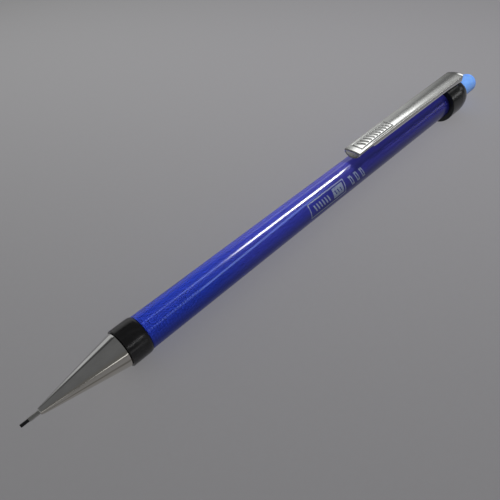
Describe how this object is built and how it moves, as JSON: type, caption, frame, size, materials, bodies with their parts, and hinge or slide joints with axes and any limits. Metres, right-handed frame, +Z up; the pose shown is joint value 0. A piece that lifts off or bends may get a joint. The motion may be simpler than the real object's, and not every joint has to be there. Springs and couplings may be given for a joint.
{
  "type": "mechanical pencil",
  "caption": "Slim push-button mechanical pencil with a round plastic barrel, chromed cone and pocket clip, dark collar and end cap, sprung three-jaw chuck and a capped eraser.",
  "frame": {"origin": "centre of the bounding box's underside, the pencil lying along X with its axis 4.85 mm up", "axes": "+X from the writing tip to the push button, +Z up through the pocket clip, +Y across to the left of someone looking along +X"},
  "size_m": [0.1472, 0.0098, 0.0115],
  "materials": {
    "lead": "graphite",
    "lead_sleeve": "polished",
    "nose_cone": "polished",
    "lead_retainer": "soft",
    "front_collar": "semi-gloss",
    "barrel": "glossy, slightly translucent",
    "clutch_ring": "machined",
    "chuck_jaw_1": "machined",
    "chuck_jaw_2": "machined",
    "chuck_jaw_3": "machined",
    "chuck_shank": "machined",
    "return_spring": "drawn wire",
    "tube_connector": "machined",
    "magazine_tube": "translucent white",
    "spare_lead_1": "graphite",
    "spare_lead_2": "graphite",
    "spare_lead_3": "graphite",
    "eraser_holder": "drawn",
    "eraser": "matt",
    "push_button": "satin",
    "end_cap": "semi-gloss",
    "clip": "polished"
  },
  "bodies": {
    "barrel": {"barrel": "barrel", "front_collar": "front_collar", "end_cap": "end_cap", "return_spring": "return_spring"},
    "nose": {"nose_cone": "nose_cone", "lead_sleeve": "lead_sleeve", "lead_retainer": "lead_retainer"},
    "push_rod": {"chuck_shank": "chuck_shank", "tube_connector": "tube_connector", "magazine_tube": "magazine_tube", "spare_lead_1": "spare_lead_1", "spare_lead_2": "spare_lead_2", "spare_lead_3": "spare_lead_3"},
    "clutch": {"clutch_ring": "clutch_ring"},
    "jaw_1": {"chuck_jaw_1": "chuck_jaw_1"},
    "jaw_2": {"chuck_jaw_2": "chuck_jaw_2"},
    "jaw_3": {"chuck_jaw_3": "chuck_jaw_3"},
    "lead": {"lead": "lead"},
    "eraser_unit": {"eraser_holder": "eraser_holder", "eraser": "eraser"},
    "button": {"push_button": "push_button"},
    "clip": {"clip": "clip"}
  },
  "joints": [
    {"name": "nose_unscrew", "type": "slide", "parent": "barrel", "child": "nose", "axis": [-1, 0, 0], "range_m": [0, 0.03]},
    {"name": "button_push", "type": "slide", "parent": "barrel", "child": "push_rod", "axis": [-1, 0, 0], "range_m": [0, 0.004], "stiffness_N_per_m": 800, "springref_m": -0.004, "deforming": ["return_spring"]},
    {"name": "clutch_slide", "type": "slide", "parent": "barrel", "child": "clutch", "axis": [-1, 0, 0], "range_m": [0, 0.00095]},
    {"name": "jaw_1_open", "type": "hinge", "parent": "push_rod", "child": "jaw_1", "pos_m": [-0.0496, 0, 0.0055], "axis": [0, 1, 0], "range_deg": [0, 1.5]},
    {"name": "jaw_2_open", "type": "hinge", "parent": "push_rod", "child": "jaw_2", "pos_m": [-0.0496, -0.00056, 0.00453], "axis": [0, -0.5, 0.866], "range_deg": [0, 1.5]},
    {"name": "jaw_3_open", "type": "hinge", "parent": "push_rod", "child": "jaw_3", "pos_m": [-0.0496, 0.00056, 0.00453], "axis": [0, -0.5, -0.866], "range_deg": [0, 1.5]},
    {"name": "lead_feed", "type": "slide", "parent": "barrel", "child": "lead", "axis": [-1, 0, 0], "range_m": [-0.0014, 0.0447]},
    {"name": "eraser_unit_pull", "type": "slide", "parent": "push_rod", "child": "eraser_unit", "axis": [1, 0, 0], "range_m": [0, 0.012]},
    {"name": "button_pull", "type": "slide", "parent": "eraser_unit", "child": "button", "axis": [1, 0, 0], "range_m": [0, 0.012]},
    {"name": "clip_lift", "type": "hinge", "parent": "barrel", "child": "clip", "pos_m": [0.0624, 0, 0.01085], "axis": [0, 1, 0], "range_deg": [0, 3.5], "stiffness_Nm_per_rad": 2, "springref_deg": -1.72}
  ],
  "couplings": [
    {"joint": "clutch_slide", "follows": "button_push", "ratio": 0.2375},
    {"joint": "jaw_1_open", "follows": "button_push", "rad_per_m": 6.5},
    {"joint": "jaw_2_open", "follows": "button_push", "rad_per_m": 6.5},
    {"joint": "jaw_3_open", "follows": "button_push", "rad_per_m": 6.5}
  ]
}
